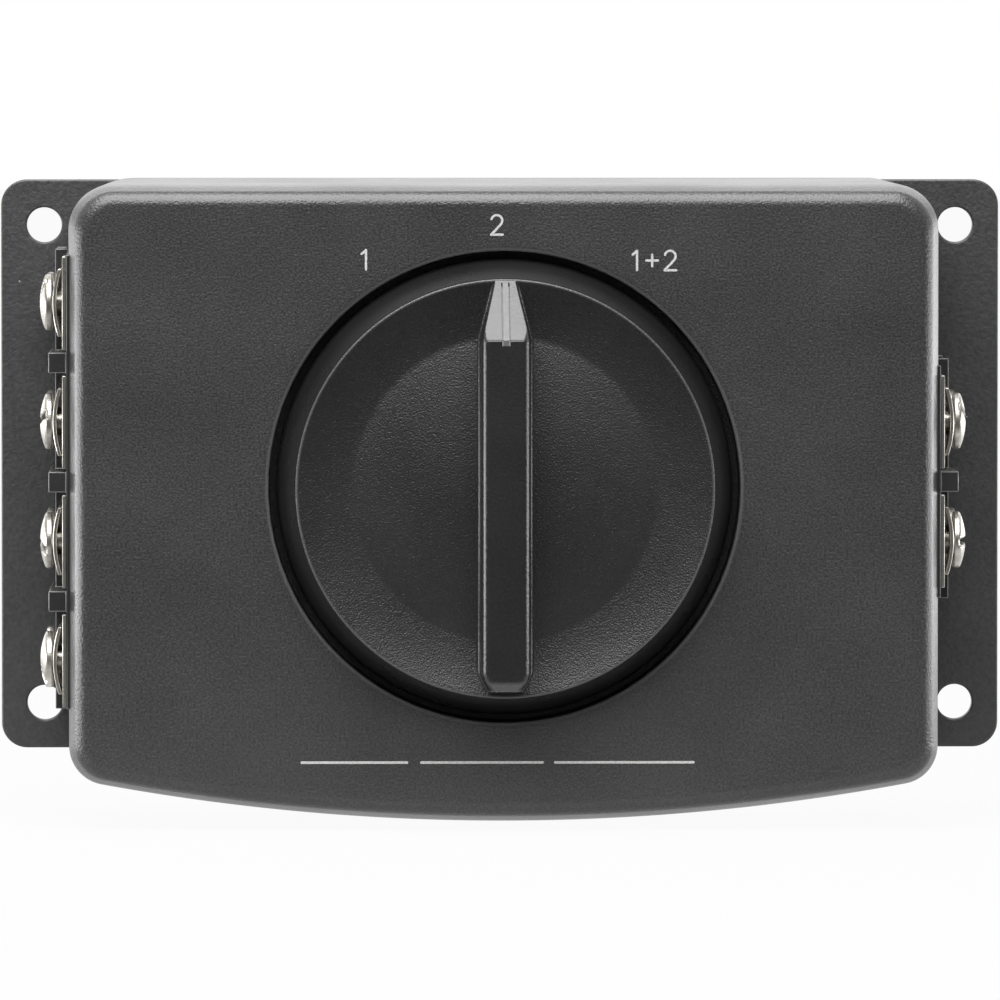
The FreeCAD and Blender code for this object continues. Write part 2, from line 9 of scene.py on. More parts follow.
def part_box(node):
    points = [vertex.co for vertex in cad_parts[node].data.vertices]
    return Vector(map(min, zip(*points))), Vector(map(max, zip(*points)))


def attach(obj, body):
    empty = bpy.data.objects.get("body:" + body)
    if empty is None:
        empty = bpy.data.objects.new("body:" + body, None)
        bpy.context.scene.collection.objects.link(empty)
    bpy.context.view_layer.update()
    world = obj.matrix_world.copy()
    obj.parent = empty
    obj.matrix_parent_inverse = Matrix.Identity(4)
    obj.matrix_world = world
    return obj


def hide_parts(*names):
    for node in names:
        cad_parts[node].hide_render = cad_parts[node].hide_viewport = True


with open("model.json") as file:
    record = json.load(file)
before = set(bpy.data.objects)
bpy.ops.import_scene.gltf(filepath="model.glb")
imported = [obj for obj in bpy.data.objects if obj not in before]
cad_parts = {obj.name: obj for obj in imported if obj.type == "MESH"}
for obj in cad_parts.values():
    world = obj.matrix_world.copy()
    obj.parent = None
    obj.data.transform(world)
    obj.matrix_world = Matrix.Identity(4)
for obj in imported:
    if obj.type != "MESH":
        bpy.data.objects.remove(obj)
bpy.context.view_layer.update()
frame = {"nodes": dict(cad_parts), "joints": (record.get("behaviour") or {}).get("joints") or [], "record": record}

mm = 0.001
scene = bpy.context.scene
nodes = frame["nodes"]
record = frame["record"]
slotOf = {entry["node"]: entry["material_slot"] for entry in record["subparts"]}
bodyOf = {node: body for body, members in record["behaviour"]["bodies"].items() for node in members}
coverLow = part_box("cover")[0]
plateLow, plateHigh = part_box("back_plate")
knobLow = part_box("knob")[0]
dialZ = frame["joints"][0]["pos_m"][2]
faceY = coverLow.y              # the cover's front
plateY = plateLow.y             # the plate's front
print("frame loaded,", len(nodes), "nodes")


def toLinear(hexColour):
    # sRGB hex to linear: low values divided by 12.92, the rest by the 2.4 power curve
    parts = np.array([int(hexColour[k:k + 2], 16) for k in (1, 3, 5)]) / 255
    linear = np.where(parts <= 0.04045, parts / 12.92, ((parts + 0.055) / 1.055) ** 2.4)
    return (*linear.tolist(), 1.0)


def surfaceOf(name, points, closeU=True, closeV=True):
    # a grid of points (rows v, columns u) joined by quads; closed directions wrap round
    rows, cols = points.shape[:2]
    index = np.arange(rows * cols).reshape(rows, cols)
    if closeV:
        index = np.vstack([index, index[:1]])
    if closeU:
        index = np.hstack([index, index[:, :1]])
    corners = [index[:-1, :-1], index[:-1, 1:], index[1:, 1:], index[1:, :-1]]
    faces = np.stack(corners, axis=-1).reshape(-1, 4)
    mesh = bpy.data.meshes.new(name)
    mesh.from_pydata(points.reshape(-1, 3).tolist(), [], faces.tolist())
    return mesh


def startClosed(grid):
    # a band whose first end is closed: a column is put before it, all in the end's middle point
    middle = grid[:, :1].mean(axis=0, keepdims=True)
    return np.concatenate([np.repeat(middle, len(grid), 0), grid], axis=1)


def cleaned(mesh, join=0.001 * mm):
    # welds doubled points, drops what that flattens, and turns all faces outwards
    work = bmesh.new()
    work.from_mesh(mesh)
    bmesh.ops.remove_doubles(work, verts=work.verts, dist=join)
    bmesh.ops.dissolve_degenerate(work, edges=work.edges, dist=join / 10)
    bmesh.ops.recalc_face_normals(work, faces=work.faces)
    work.to_mesh(mesh)
    work.free()
    return mesh


def joined(name, meshes):
    # several meshes made one
    work = bmesh.new()
    for mesh in meshes:
        work.from_mesh(mesh)
    whole = bpy.data.meshes.new(name)
    work.to_mesh(whole)
    work.free()
    return whole


def placed(mesh, body, material, replaced=(), sharp=40):
    # a finished piece: smooth shading that breaks at sharp edges, riding on its body
    mesh.shade_smooth()
    mesh.set_sharp_from_angle(angle=math.radians(sharp))
    piece = bpy.data.objects.new(mesh.name, mesh)
    scene.collection.objects.link(piece)
    mesh.materials.append(material)
    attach(piece, body)
    if replaced:
        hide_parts(*replaced)
    return piece


def valuesOf(items, attribute, width=1, kind=float):
    # one attribute of a mesh's points, edges or faces as an array, a row each where it has parts
    values = np.empty(len(items) * width, dtype=kind)
    items.foreach_get(attribute, values)
    return values.reshape(-1, width) if width > 1 else values


def paintHighlight(piece, share):
    # how strongly each point takes the painted highlight, 0 to 1, from its coordinates; the mouldings' colour is
    # lightened by it
    layer = piece.data.attributes.new("worn", "FLOAT", "POINT")
    worn = share(*valuesOf(piece.data.vertices, "co", 3).T)
    layer.data.foreach_set("value", worn.astype(np.float32))


def ringHighlight(middle, width, depth):
    # a painted highlight in a ring about the dial, most at its middle radius, and only in front of the depth
    return lambda x, y, z: (np.clip(1 - np.abs(np.hypot(x, z - dialZ) - middle) / width, 0, 1)
                            * (y < depth))


# How a copied piece is mended and rounded; the angles are in degrees.
easing = {"weld": 0.002 * mm, "flat": 0.5, "sharp": 30, "segments": 2, "angle": 35}


def softened(node, material, width, edge=None):
    # copy of a CAD piece with its flat faces made whole and its edges rounded
    work = bmesh.new()
    work.from_mesh(nodes[node].data)
    bmesh.ops.remove_doubles(work, verts=work.verts, dist=easing["weld"])
    flat = math.radians(easing["flat"])
    bmesh.ops.dissolve_limit(work, angle_limit=flat, verts=work.verts, edges=work.edges)
    mesh = bpy.data.meshes.new(node + "_finished")
    work.to_mesh(mesh)
    work.free()
    piece = placed(mesh, bodyOf[node], material, (node,), easing["sharp"])
    bevel = piece.modifiers.new("edges", "BEVEL")
    bevel.width = width
    bevel.segments = easing["segments"]
    bevel.limit_method = "ANGLE"
    bevel.angle_limit = math.radians(easing["angle"])
    bevel.use_clamp_overlap = False
    # for the terminal blocks the edge material is a paler copy, a painted highlight on the rounded edges
    if edge:
        mesh.materials.append(edge)
        bevel.material = 1


def revolved(profile, centre, turns=192):
    # each profile point (radius, y) sweeps a circle about the axis along Y through the centre
    r, y = np.array(profile).T
    angle = np.linspace(0, 2 * np.pi, turns, endpoint=False)
    x = r[:, None] * np.sin(angle)
    z = r[:, None] * np.cos(angle)
    return np.stack([x + centre[0], np.broadcast_to(y[:, None], x.shape), z + centre[1]], axis=-1)


def arcPoints(centre, radius, start, end, count):
    # points of a circle's arc between two angles in degrees, as (first, second) coordinates
    angle = np.radians(np.linspace(start, end, count))
    return np.stack([centre[0] + radius * np.cos(angle), centre[1] + radius * np.sin(angle)], axis=-1)


def addNode(tree, kind, settings=None, links=None):
    # one shader node: settings go to its properties or sockets (a hex colour is turned linear),
    # links come from other nodes' first outputs or from a socket
    node = tree.nodes.new(kind)
    for key, value in (settings or {}).items():
        if isinstance(value, str) and value.startswith("#"):
            value = toLinear(value)
        if isinstance(key, str) and hasattr(node, key):
            setattr(node, key, value)
        else:
            node.inputs[key].default_value = value
    for key, source in (links or {}).items():
        tree.links.new(getattr(source, "outputs", [source])[0], node.inputs[key])
    return node


def startMaterial(name):
    # a new material with its main shader, and the place on the piece in its own coordinates
    material = bpy.data.materials.new(name)
    material.use_nodes = True
    tree = material.node_tree
    tree.nodes.clear()
    shader = addNode(tree, "ShaderNodeBsdfPrincipled")
    addNode(tree, "ShaderNodeOutputMaterial", links={"Surface": shader})
    place = addNode(tree, "ShaderNodeTexCoord").outputs["Object"]
    return material, tree, shader, place


def finishMaterial(tree, shader, tone, rough, relief):
    # a colour mix (its colour is output 2), a roughness and a bump become the shader's
    tree.links.new(tone.outputs[2], shader.inputs["Base Color"])
    tree.links.new(rough.outputs[0], shader.inputs["Roughness"])
    tree.links.new(relief.outputs[0], shader.inputs["Normal"])


# A Map Range takes the values from socket 1 to 2 to those from 3 to 4; most noise lies in this band. A
# colour Mix has its share in socket 0 and its colours in 6 and 7.
noiseBand = {1: 0.3, 2: 0.7}

# Phenolic resin from a spark-eroded mould: black-grey, an even fine grain that breaks up soft
# highlights, flecks of filler in the colour and a few grains of dust. The grip bar is polished. The
# real grain is finer than the render shows, so it is drawn as coarse as it needs to be.
# The highlight colour in each look is painted light: a paler ring on the pocket's lip and on the knob's rim, and a
# paler tail on the bar, standing in for the highlights those edges catch.
phenolic = {"tooth": 0.1 * mm, "toothDepth": 0.003 * mm, "fleck": 0.3, "fleckColour": "#3c3c3d",
            "fleckFrom": 0.55, "dustShare": 0.4, "dustCore": 0.6, "worn": "#404041", "smear": 14 * mm,
            "smearRough": (-0.03, 0.04), "ior": 1.6}
coverLook = dict(phenolic, dark="#2b2b2c", light="#313132", mottle=11 * mm, grain=0.26 * mm,
                 grainDepth=0.062 * mm, grainShade=0.5, rough=0.33, fleck=0.4, dustSpacing=7 * mm,
                 dustRadius=0.09 * mm, dust="#a5a39f", worn="#606062")
plateLook = dict(phenolic, dark="#272728", light="#2d2d2e", mottle=8 * mm, grain=0.45 * mm,
                 grainDepth=0.06 * mm, grainShade=0.3, rough=0.46, dustSpacing=5 * mm,
                 dustRadius=0.12 * mm, dustShare=0.5, dust="#8c8a84")
knobLook = dict(phenolic, dark="#101011", light="#141415", mottle=9 * mm, grain=0.2 * mm,
                grainDepth=0.065 * mm, grainShade=0.5, rough=0.38, fleckColour="#232324",
                dustSpacing=3.2 * mm, dustRadius=0.06 * mm, dust="#7e7c78", worn="#4a4a4b")
barLook = dict(phenolic, dark="#19191a", light="#1f1f20", mottle=9 * mm, grain=0.35 * mm,
               grainDepth=0.03 * mm, grainShade=0.2, toothDepth=0.002 * mm, rough=0.26,
               fleckColour="#232324", dustSpacing=4 * mm, dustRadius=0.05 * mm, dustShare=0.3,
               dust="#6e6c68", worn="#7c7c7d")
blockLook = dict(phenolic, dark="#1a1a1b", light="#202021", mottle=5 * mm, grain=0.4 * mm,
                 grainDepth=0.02 * mm, grainShade=0.12, rough=0.34, fleck=0.25, fleckColour="#302d2a",
                 dustSpacing=4 * mm, dustRadius=0.09 * mm, dust="#8f8c85")
# Turned smooth round the knob's cone, and coloured a little lighter than the knob as painted light on its shaded
# lower side; the terminal blocks' rounded edges are coloured pale as a painted highlight.
coneLook = dict(knobLook, dark="#161617", light="#1b1b1c", grainDepth=0.01 * mm, grainShade=0.2, rough=0.28)
edgeHighlightLook = dict(blockLook, dark="#505051", light="#5c5c5d")


def mouldedPhenolic(name, look):
    material, tree, shader, place = startMaterial(name)
    mottle = addNode(tree, "ShaderNodeTexNoise", {"Scale": 1 / look["mottle"], "Detail": 3.0},
                     {"Vector": place})
    share = addNode(tree, "ShaderNodeMapRange", noiseBand, {0: mottle})
    tone = addNode(tree, "ShaderNodeMix", {"data_type": "RGBA", 6: look["dark"], 7: look["light"]},
                   {0: share})
    tooth = addNode(tree, "ShaderNodeTexNoise", {"Scale": 1 / look["tooth"], "Detail": 1.0},
                    {"Vector": place})
    share = addNode(tree, "ShaderNodeMapRange", {**noiseBand, 1: look["fleckFrom"], 4: look["fleck"]},
                    {0: tooth})
    tone = addNode(tree, "ShaderNodeMix", {"data_type": "RGBA", 7: look["fleckColour"]},
                   {0: share, 6: tone.outputs[2]})
    # the grain: an even noise, with painted shade in its hollows and painted light on its crests, standing in for
    # the grain's own shading
    grain = addNode(tree, "ShaderNodeTexNoise", {"Scale": 1 / look["grain"], "Detail": 1.5},
                    {"Vector": place})
    hollow = addNode(tree, "ShaderNodeMapRange",
                     {**noiseBand, 3: 1 - look["grainShade"], 4: 1 + look["grainShade"]}, {0: grain})
    tone = addNode(tree, "ShaderNodeMix", {"data_type": "RGBA", "blend_type": "MULTIPLY", 0: 1.0},
                   {6: tone.outputs[2], 7: hollow})
    # painted highlight: where the point's highlight share is set, the colour turns to the look's paler highlight
    # colour
    worn = addNode(tree, "ShaderNodeAttribute", {"attribute_name": "worn"})
    tone = addNode(tree, "ShaderNodeMix", {"data_type": "RGBA", 7: look["worn"]},
                   {0: worn.outputs["Fac"], 6: tone.outputs[2]})
    # dust: round specks near random points, kept in the cells whose own value is low
    cells = addNode(tree, "ShaderNodeTexVoronoi", {"Scale": 1 / look["dustSpacing"]}, {"Vector": place})
    size = look["dustRadius"] / look["dustSpacing"]
    near = addNode(tree, "ShaderNodeMapRange", {1: size * look["dustCore"], 2: size, 3: 1.0, 4: 0.0},
                   {0: cells.outputs["Distance"]})
    own = addNode(tree, "ShaderNodeSeparateColor", links={0: cells.outputs["Color"]})
    kept = addNode(tree, "ShaderNodeMath", {"operation": "LESS_THAN", 1: look["dustShare"]}, {0: own})
    speck = addNode(tree, "ShaderNodeMath", {"operation": "MULTIPLY"}, {0: near, 1: kept})
    tone = addNode(tree, "ShaderNodeMix", {"data_type": "RGBA", 7: look["dust"]},
                   {0: speck, 6: tone.outputs[2]})
    # handling leaves patches that are a little smoother or duller
    smear = addNode(tree, "ShaderNodeTexNoise", {"Scale": 1 / look["smear"], "Detail": 4.0},
                    {"Vector": place})
    smoother, duller = look["smearRough"]
    rough = addNode(tree, "ShaderNodeMapRange",
                    {**noiseBand, 3: look["rough"] + smoother, 4: look["rough"] + duller}, {0: smear})
    relief = addNode(tree, "ShaderNodeBump", {"Distance": look["grainDepth"]}, {"Height": grain})
    relief = addNode(tree, "ShaderNodeBump", {"Distance": look["toothDepth"]},
                     {"Height": tooth, "Normal": relief})
    finishMaterial(tree, shader, tone, rough, relief)
    shader.inputs["IOR"].default_value = look["ior"]
    return material


coverMaterial = mouldedPhenolic("grainedPhenolicCover", coverLook)
plateMaterial = mouldedPhenolic("satinPhenolicPlate", plateLook)
knobMaterial = mouldedPhenolic("finePhenolicKnob", knobLook)
barMaterial = mouldedPhenolic("polishedPhenolicBar", barLook)
blockMaterial = mouldedPhenolic("phenolicTerminalBlock", blockLook)
coneMaterial = mouldedPhenolic("turnedPhenolicCone", coneLook)
edgeHighlightMaterial = mouldedPhenolic("rubbedPhenolicEdge", edgeHighlightLook)

# Plated or rolled metal: bright, with dulled patches and fine lines left by drawing or turning.
nickelLook = {"colour": "#c6c3bc", "dull": "#908d87", "rough": 0.29, "patch": 2.2 * mm, "line": 0.3 * mm,
              "depth": 0.012 * mm, "stretch": (1.0, 1.0, 0.35)}
zincLook = {"colour": "#b9bcbf", "dull": "#8d9092", "rough": 0.38, "patch": 3.5 * mm, "line": 0.2 * mm,
            "depth": 0.005 * mm, "stretch": (0.2, 1.0, 1.0)}
springLook = {"colour": "#6f7479", "dull": "#4e5459", "rough": 0.3, "patch": 3 * mm, "line": 0.15 * mm,
              "depth": 0.003 * mm, "stretch": (1.0, 1.0, 0.2)}
brassLook = {"colour": "#cfc09a", "dull": "#9c7f49", "rough": 0.3, "patch": 2 * mm, "line": 0.15 * mm,
             "depth": 0.004 * mm, "stretch": (1.0, 0.3, 1.0)}


def platedMetal(name, look):
    material, tree, shader, place = startMaterial(name)
    patches = addNode(tree, "ShaderNodeTexNoise",
                      {"Scale": 1 / look["patch"], "Detail": 4.0, "Roughness": 0.65}, {"Vector": place})
    share = addNode(tree, "ShaderNodeMapRange", {1: 0.35, 2: 0.7}, {0: patches})
    tone = addNode(tree, "ShaderNodeMix", {"data_type": "RGBA", 6: look["colour"], 7: look["dull"]},
                   {0: share})
    shader.inputs["Metallic"].default_value = 1.0
    rough = addNode(tree, "ShaderNodeMapRange",
                    {1: 0.3, 2: 0.75, 3: look["rough"] - 0.06, 4: look["rough"] + 0.12}, {0: patches})
    drawn = addNode(tree, "ShaderNodeMapping", {"Scale": look["stretch"]}, {"Vector": place})
    lines = addNode(tree, "ShaderNodeTexNoise", {"Scale": 1 / look["line"], "Detail": 2.0},
                    {"Vector": drawn})
    relief = addNode(tree, "ShaderNodeBump", {"Distance": look["depth"]}, {"Height": lines})
    finishMaterial(tree, shader, tone, rough, relief)
    return material


nickelMaterial = platedMetal("nickelPlatedBrass", nickelLook)
zincMaterial = platedMetal("zincPlatedSteel", zincLook)
springMaterial = platedMetal("bluedSpringSteel", springLook)
brassMaterial = platedMetal("silveredBrass", brassLook)

# Dielectrics with one noise for colour, gloss and relief. Paper-phenolic laminate: amber, fibrous.
# Extruded vinyl: soft gloss with a slight wave. Screen-printed enamel: off-white, uneven over the grain.
# The pointer's stripe: pale grey, smooth; its paleness is a painted reflection, standing in for the light its
# ridge catches.
laminateLook = {"first": "#5a3517", "second": "#7d4f27", "size": 0.8 * mm, "stretch": (1.0, 6.0, 1.0),
                "rough": (0.38, 0.5), "depth": 0.01 * mm}
vinylLook = {"first": "#7a1c18", "second": "#8e2620", "size": 1.8 * mm, "stretch": (1.0, 1.0, 1.0),
             "rough": (0.35, 0.45), "depth": 0.02 * mm}
inkLook = {"first": "#c2c2c0", "second": "#9a9a98", "size": 0.25 * mm, "stretch": (1.0, 1.0, 1.0),
           "rough": (0.5, 0.65), "depth": 0.006 * mm}
stripeLook = {"first": "#5c5c5b", "second": "#525251", "size": 0.5 * mm, "stretch": (1.0, 1.0, 1.0),
              "rough": (0.3, 0.4), "depth": 0.006 * mm}


def layeredResin(name, look):
    material, tree, shader, place = startMaterial(name)
    drawn = addNode(tree, "ShaderNodeMapping", {"Scale": look["stretch"]}, {"Vector": place})
    grain = addNode(tree, "ShaderNodeTexNoise",
                    {"Scale": 1 / look["size"], "Detail": 3.0, "Roughness": 0.6}, {"Vector": drawn})
    share = addNode(tree, "ShaderNodeMapRange", {1: 0.35, 2: 0.7}, {0: grain})
    tone = addNode(tree, "ShaderNodeMix", {"data_type": "RGBA", 6: look["first"], 7: look["second"]},
                   {0: share})
    glossy, dull = look["rough"]
    rough = addNode(tree, "ShaderNodeMapRange", {**noiseBand, 3: glossy, 4: dull}, {0: grain})
    relief = addNode(tree, "ShaderNodeBump", {"Distance": look["depth"]}, {"Height": grain})
    finishMaterial(tree, shader, tone, rough, relief)
    return material


laminate = layeredResin("paperPhenolicLaminate", laminateLook)
vinyl = layeredResin("vinylWireCover", vinylLook)
ink = layeredResin("printedWhiteEnamel", inkLook)
stripe = layeredResin("paleUreaStripe", stripeLook)
print("materials made")

# The cover's outline at the plate, the shoulder and the front; its sides are straight between them.
cover = {"y": (plateY, faceY + 4.0 * mm, faceY), "drawnIn": (0.0, 0.5 * mm, 1.57 * mm),
         "topCorner": (7.9 * mm, 5.3 * mm, 4.6 * mm), "lowCorner": (5.8 * mm, 4.6 * mm, 3.9 * mm),
         "halfWidth": 51.9 * mm, "top": 34.4 * mm, "low": -41.9 * mm, "bow": 263 * mm,
         "fillet": 1.8 * mm, "shoulderSoft": 1.4 * mm, "wall": 2.2 * mm, "faceWall": 2.3 * mm,
         "pocket": 27.8 * mm, "pocketDepth": 2.8 * mm, "lip": 0.5 * mm, "trough": 24.1 * mm,
         "troughDepth": 5.4 * mm, "troughSoft": 0.2 * mm, "troughCut": 0.06 * mm, "floorWall": 2.0 * mm,
         "floorRing": 16 * mm, "hole": 4.96 * mm, "slotHalf": {-1: 26.9 * mm, 1: 13.8 * mm},
         "slotZ": -1.25 * mm, "rubAt": 0.18 * mm, "rubWidth": 0.3 * mm, "rubDepth": 0.45 * mm}


def coverOutline(section):
    # One outline as x, z and outward angle for every column: four lines or arcs joined by corner arcs,
    # each with its own share of the columns, so that outlines of different sections match point by point.
    c = cover
    drawn, rt, rb = c["drawnIn"][section], c["topCorner"][section], c["lowCorner"][section]
    half, top = c["halfWidth"] - drawn, c["top"] - drawn
    bow = c["bow"] - drawn
    bowZ = c["low"] + drawn + bow
    cornerZ = bowZ - math.sqrt((bow - rb) ** 2 - (half - rb) ** 2)
    foot = math.degrees(math.atan2(cornerZ - bowZ, half - rb))      # angle at which the bow takes over
    hair = 0.002 * mm

    def corner(x, z, radius, start, end, count=16):
        turn = np.linspace(start, end, count, endpoint=False)
        return x + radius * np.cos(np.radians(turn)), z + radius * np.sin(np.radians(turn)), turn

    def side(sign):
        lowSlot, highSlot = c["slotZ"] - c["slotHalf"][sign], c["slotZ"] + c["slotHalf"][sign]
        if sign > 0:
            stops = top - rt, highSlot + hair, highSlot, lowSlot, lowSlot - hair, cornerZ
        else:
            stops = cornerZ, lowSlot - hair, lowSlot, highSlot, highSlot + hair, top - rt
        z = np.concatenate([np.linspace(*stops[:2], 5), np.linspace(*stops[2:4], 12),
                            np.linspace(*stops[4:], 4, endpoint=False)])
        return np.full_like(z, sign * half), z, np.full_like(z, 0.0 if sign > 0 else -180.0)

    x = np.linspace(-half + rt, half - rt, 40, endpoint=False)
    stretches = [(x, np.full_like(x, top), np.full_like(x, 90.0)),
                 corner(half - rt, top - rt, rt, 90, 0), side(1),
                 corner(half - rb, cornerZ, rb, 0, foot), corner(0, bowZ, bow, foot, -180 - foot, 80),
                 corner(-half + rb, cornerZ, rb, -180 - foot, -180), side(-1),
                 corner(-half + rt, top - rt, rt, -180, -270)]
    x, z, turn = (np.concatenate(parts) for parts in zip(*stretches))
    return x, z, np.radians(turn)


def coverLoop(y, inset):
    # every column at its own depth y: a straight blend between the two outlines around that depth,
    # then moved in along the outward normal
    ys = cover["y"]
    outlines = np.array([coverOutline(k) for k in range(3)])
    front = (y < ys[1]).astype(int)
    start, end = np.choose(front, (ys[0], ys[1])), np.choose(front, (ys[1], ys[2]))
    part = (start - y) / (start - end)
    columns = np.arange(outlines.shape[2])
    near, far = outlines[front, :, columns].T, outlines[front + 1, :, columns].T
    # corner arcs keep their own angle; only the bow's ends shift by a hair between outlines
    x, z, turn = near + (far - near) * part
    x, z = x - inset * np.cos(turn), z - inset * np.sin(turn)
    return np.stack([x, np.broadcast_to(y, x.shape), z], axis=-1)


def coverSurface():
    # A closed band: outer wall from the plate over the shoulder, rounded edge, face, the pocket's lip,
    # wall, trough and floor, the shaft's hole, then back along the inside. Each row is an outline
    # moved in along its normal, a circle about the dial, or a blend of the two.
    c = cover
    z, turn = coverOutline(0)[1:]
    columns = len(z)
    slotFront = c["y"][1]
    across = np.abs(z - c["slotZ"])
    tiny = 1e-9
    inSlot = np.zeros(columns, dtype=bool)
    for sign, half in c["slotHalf"].items():        # the columns on that straight side, within its slot
        inSlot |= (sign * np.cos(turn) > 0.9999) & (across <= half + tiny)
    rear = np.where(inSlot, slotFront, plateY)
    draft = (c["drawnIn"][1] - c["drawnIn"][0]) / (plateY - slotFront)
    lean = (c["drawnIn"][2] - c["drawnIn"][1]) / (slotFront - faceY)
    leanAngle = math.degrees(math.atan(lean))
    tangent = c["fillet"] * math.tan(math.radians(90 - leanAngle) / 2)
    # the shoulder is a wide arc: moved in by (soft - distance)^2 x change of slope / (4 x soft)
    soft = c["shoulderSoft"]
    forward = (slotFront + soft - rear) * (rear > slotFront + soft)
    rows = [coverLoop(rear + forward * t, np.where(inSlot, soft * (lean - draft) / 4, 0.0))
            for t in (0, 0.02, 0.25, 0.5, 0.75, 1)]
    for step in np.linspace(1, -1, 9) * soft:
        y = np.minimum(np.full(columns, slotFront + step), rear)
        rows.append(coverLoop(y, (soft - np.abs(y - slotFront)) ** 2 * (lean - draft) / (4 * soft)))
    # rounded edge: an arc of the fillet's radius tangent to the leaning wall and to the face
    for angle in np.radians(np.linspace(leanAngle, 90, 14)):
        y = faceY + c["fillet"] * (1 - math.sin(angle))
        inset = lean * (y - faceY) + tangent - c["fillet"] * math.cos(angle)
        rows.append(coverLoop(np.full(columns, max(y, faceY + tiny)), inset))
    edge = rows[-1]
    bearing = np.arctan2(edge[:, 2] - dialZ, edge[:, 0])

    def ring(radius, y):
        x, z = radius * np.cos(bearing), dialZ + radius * np.sin(bearing)
        return np.stack([x, np.full(columns, y), z], axis=-1)

    lipRing = ring(c["pocket"] + c["lip"], faceY)
    rows += [edge + (lipRing - edge) * t for t in (0.02, 0.2, 0.4, 0.6, 0.8, 0.97, 1.0)]
    for angle in np.radians(np.linspace(0, 90, 7))[1:]:
        rows.append(ring(c["pocket"] + c["lip"] * (1 - math.sin(angle)),
                         faceY + c["lip"] * (1 - math.cos(angle))))
    floorY, troughY = faceY + c["pocketDepth"], faceY + c["troughDepth"]
    innerY, backWall = faceY + c["faceWall"], c["floorWall"]
    soft, cut = c["troughSoft"], c["troughCut"]
    profile = [(c["pocket"], troughY - soft), (c["pocket"] - cut, troughY - cut),
               (c["pocket"] - soft, troughY), (c["trough"] + soft, troughY),
               (c["trough"] + cut, troughY - cut), (c["trough"], troughY - soft),
               (c["trough"], floorY + soft), (c["trough"] - cut, floorY + cut),
               (c["trough"] - soft, floorY), (c["floorRing"], floorY), (c["hole"], floorY),
               (c["hole"], floorY + backWall), (c["floorRing"], floorY + backWall),
               (c["trough"] - backWall, floorY + backWall), (c["trough"] - backWall, troughY + backWall),
               (c["pocket"] + backWall, troughY + backWall)]
    rows += [ring(radius, y) for radius, y in profile]
    boss = ring(c["pocket"] + backWall, innerY)
    innerLoop = coverLoop(np.full(columns, innerY), c["wall"])
    rows += [boss + (innerLoop - boss) * t for t in (0.0, 0.33, 0.66, 1.0)]
    rows += [coverLoop(np.full(columns, slotFront), c["wall"])]
    rows += [coverLoop(slotFront + (rear - slotFront) * t, c["wall"]) for t in (0.25, 0.5, 0.75, 1.0)]
    return np.array(rows)


mesh = cleaned(surfaceOf("coverShell", coverSurface()))
shell = placed(mesh, "housing", coverMaterial, ("cover",), sharp=34)
# a painted highlight ring on the pocket's lip, standing in for the lip's edge highlight
paintHighlight(shell, ringHighlight(cover["pocket"] + cover["rubAt"], cover["rubWidth"], faceY + cover["rubDepth"]))

# Four posts inside the cover, bored for the screws. Turned profiles stop at a small core radius.
posts = {"x": 40 * mm, "topZ": 27.5 * mm, "lowZ": -30.5 * mm, "radius": 3.3 * mm, "bore": 1.53 * mm,
         "depth": 8.0 * mm, "core": 0.01 * mm}
postPlaces = [(x, z) for x in (-posts["x"], posts["x"]) for z in (posts["topZ"], posts["lowZ"])]
postFront, boreFront = faceY + cover["faceWall"], plateY - posts["depth"]
postProfile = [(posts["bore"], boreFront), (posts["bore"], plateY), (posts["radius"], plateY),
               (posts["radius"], postFront), (posts["core"], postFront), (posts["core"], boreFront)]
mesh = joined("coverPosts", [cleaned(surfaceOf("post", revolved(postProfile, place, 32)))
                             for place in postPlaces])
placed(mesh, "housing", coverMaterial, ("cover",), sharp=34)
print("cover made")

plate = {"halfWidth": plateHigh.x, "halfHeight": plateHigh.z, "corner": 3.1 * mm,
         "thick": plateHigh.y - plateY, "edge": 0.22 * mm, "hole": 2.1 * mm, "holeX": 54.8 * mm,
         "holeZ": 28.75 * mm, "shadowInset": 0.3 * mm, "joinGap": 0.02 * mm, "screwHole": 2.93 * mm,
         "screwHoleEdge": 0.3}


def plateOutline():
    # the flange's rounded rectangle, with the cover's bowed outline below it
    p = plate
    w, h, r = p["halfWidth"], p["halfHeight"], p["corner"]
    x, z, turn = coverOutline(0)
    x, z = x - p["shadowInset"] * np.cos(turn), z - p["shadowInset"] * np.sin(turn)
    below = z < -h
    bow = np.stack([x[below], z[below]], axis=-1)
    bow = bow[np.argsort(-bow[:, 0])]
    joinX = bow[0, 0] + p["joinGap"]
    corners = [arcPoints((sx * (w - r), sz * (h - r)), r, start, start - 90, 16)
               for sx, sz, start in ((1, 1, 90), (1, -1, 0), (-1, -1, -90), (-1, 1, 180))]
    return np.concatenate([*corners[:2], [[joinX, -h]], bow, [[-joinX, -h]], *corners[2:]])


def circlePoints(centre, radius, count=64):
    return arcPoints(centre, radius, 0, 360 * (1 - 1 / count), count)


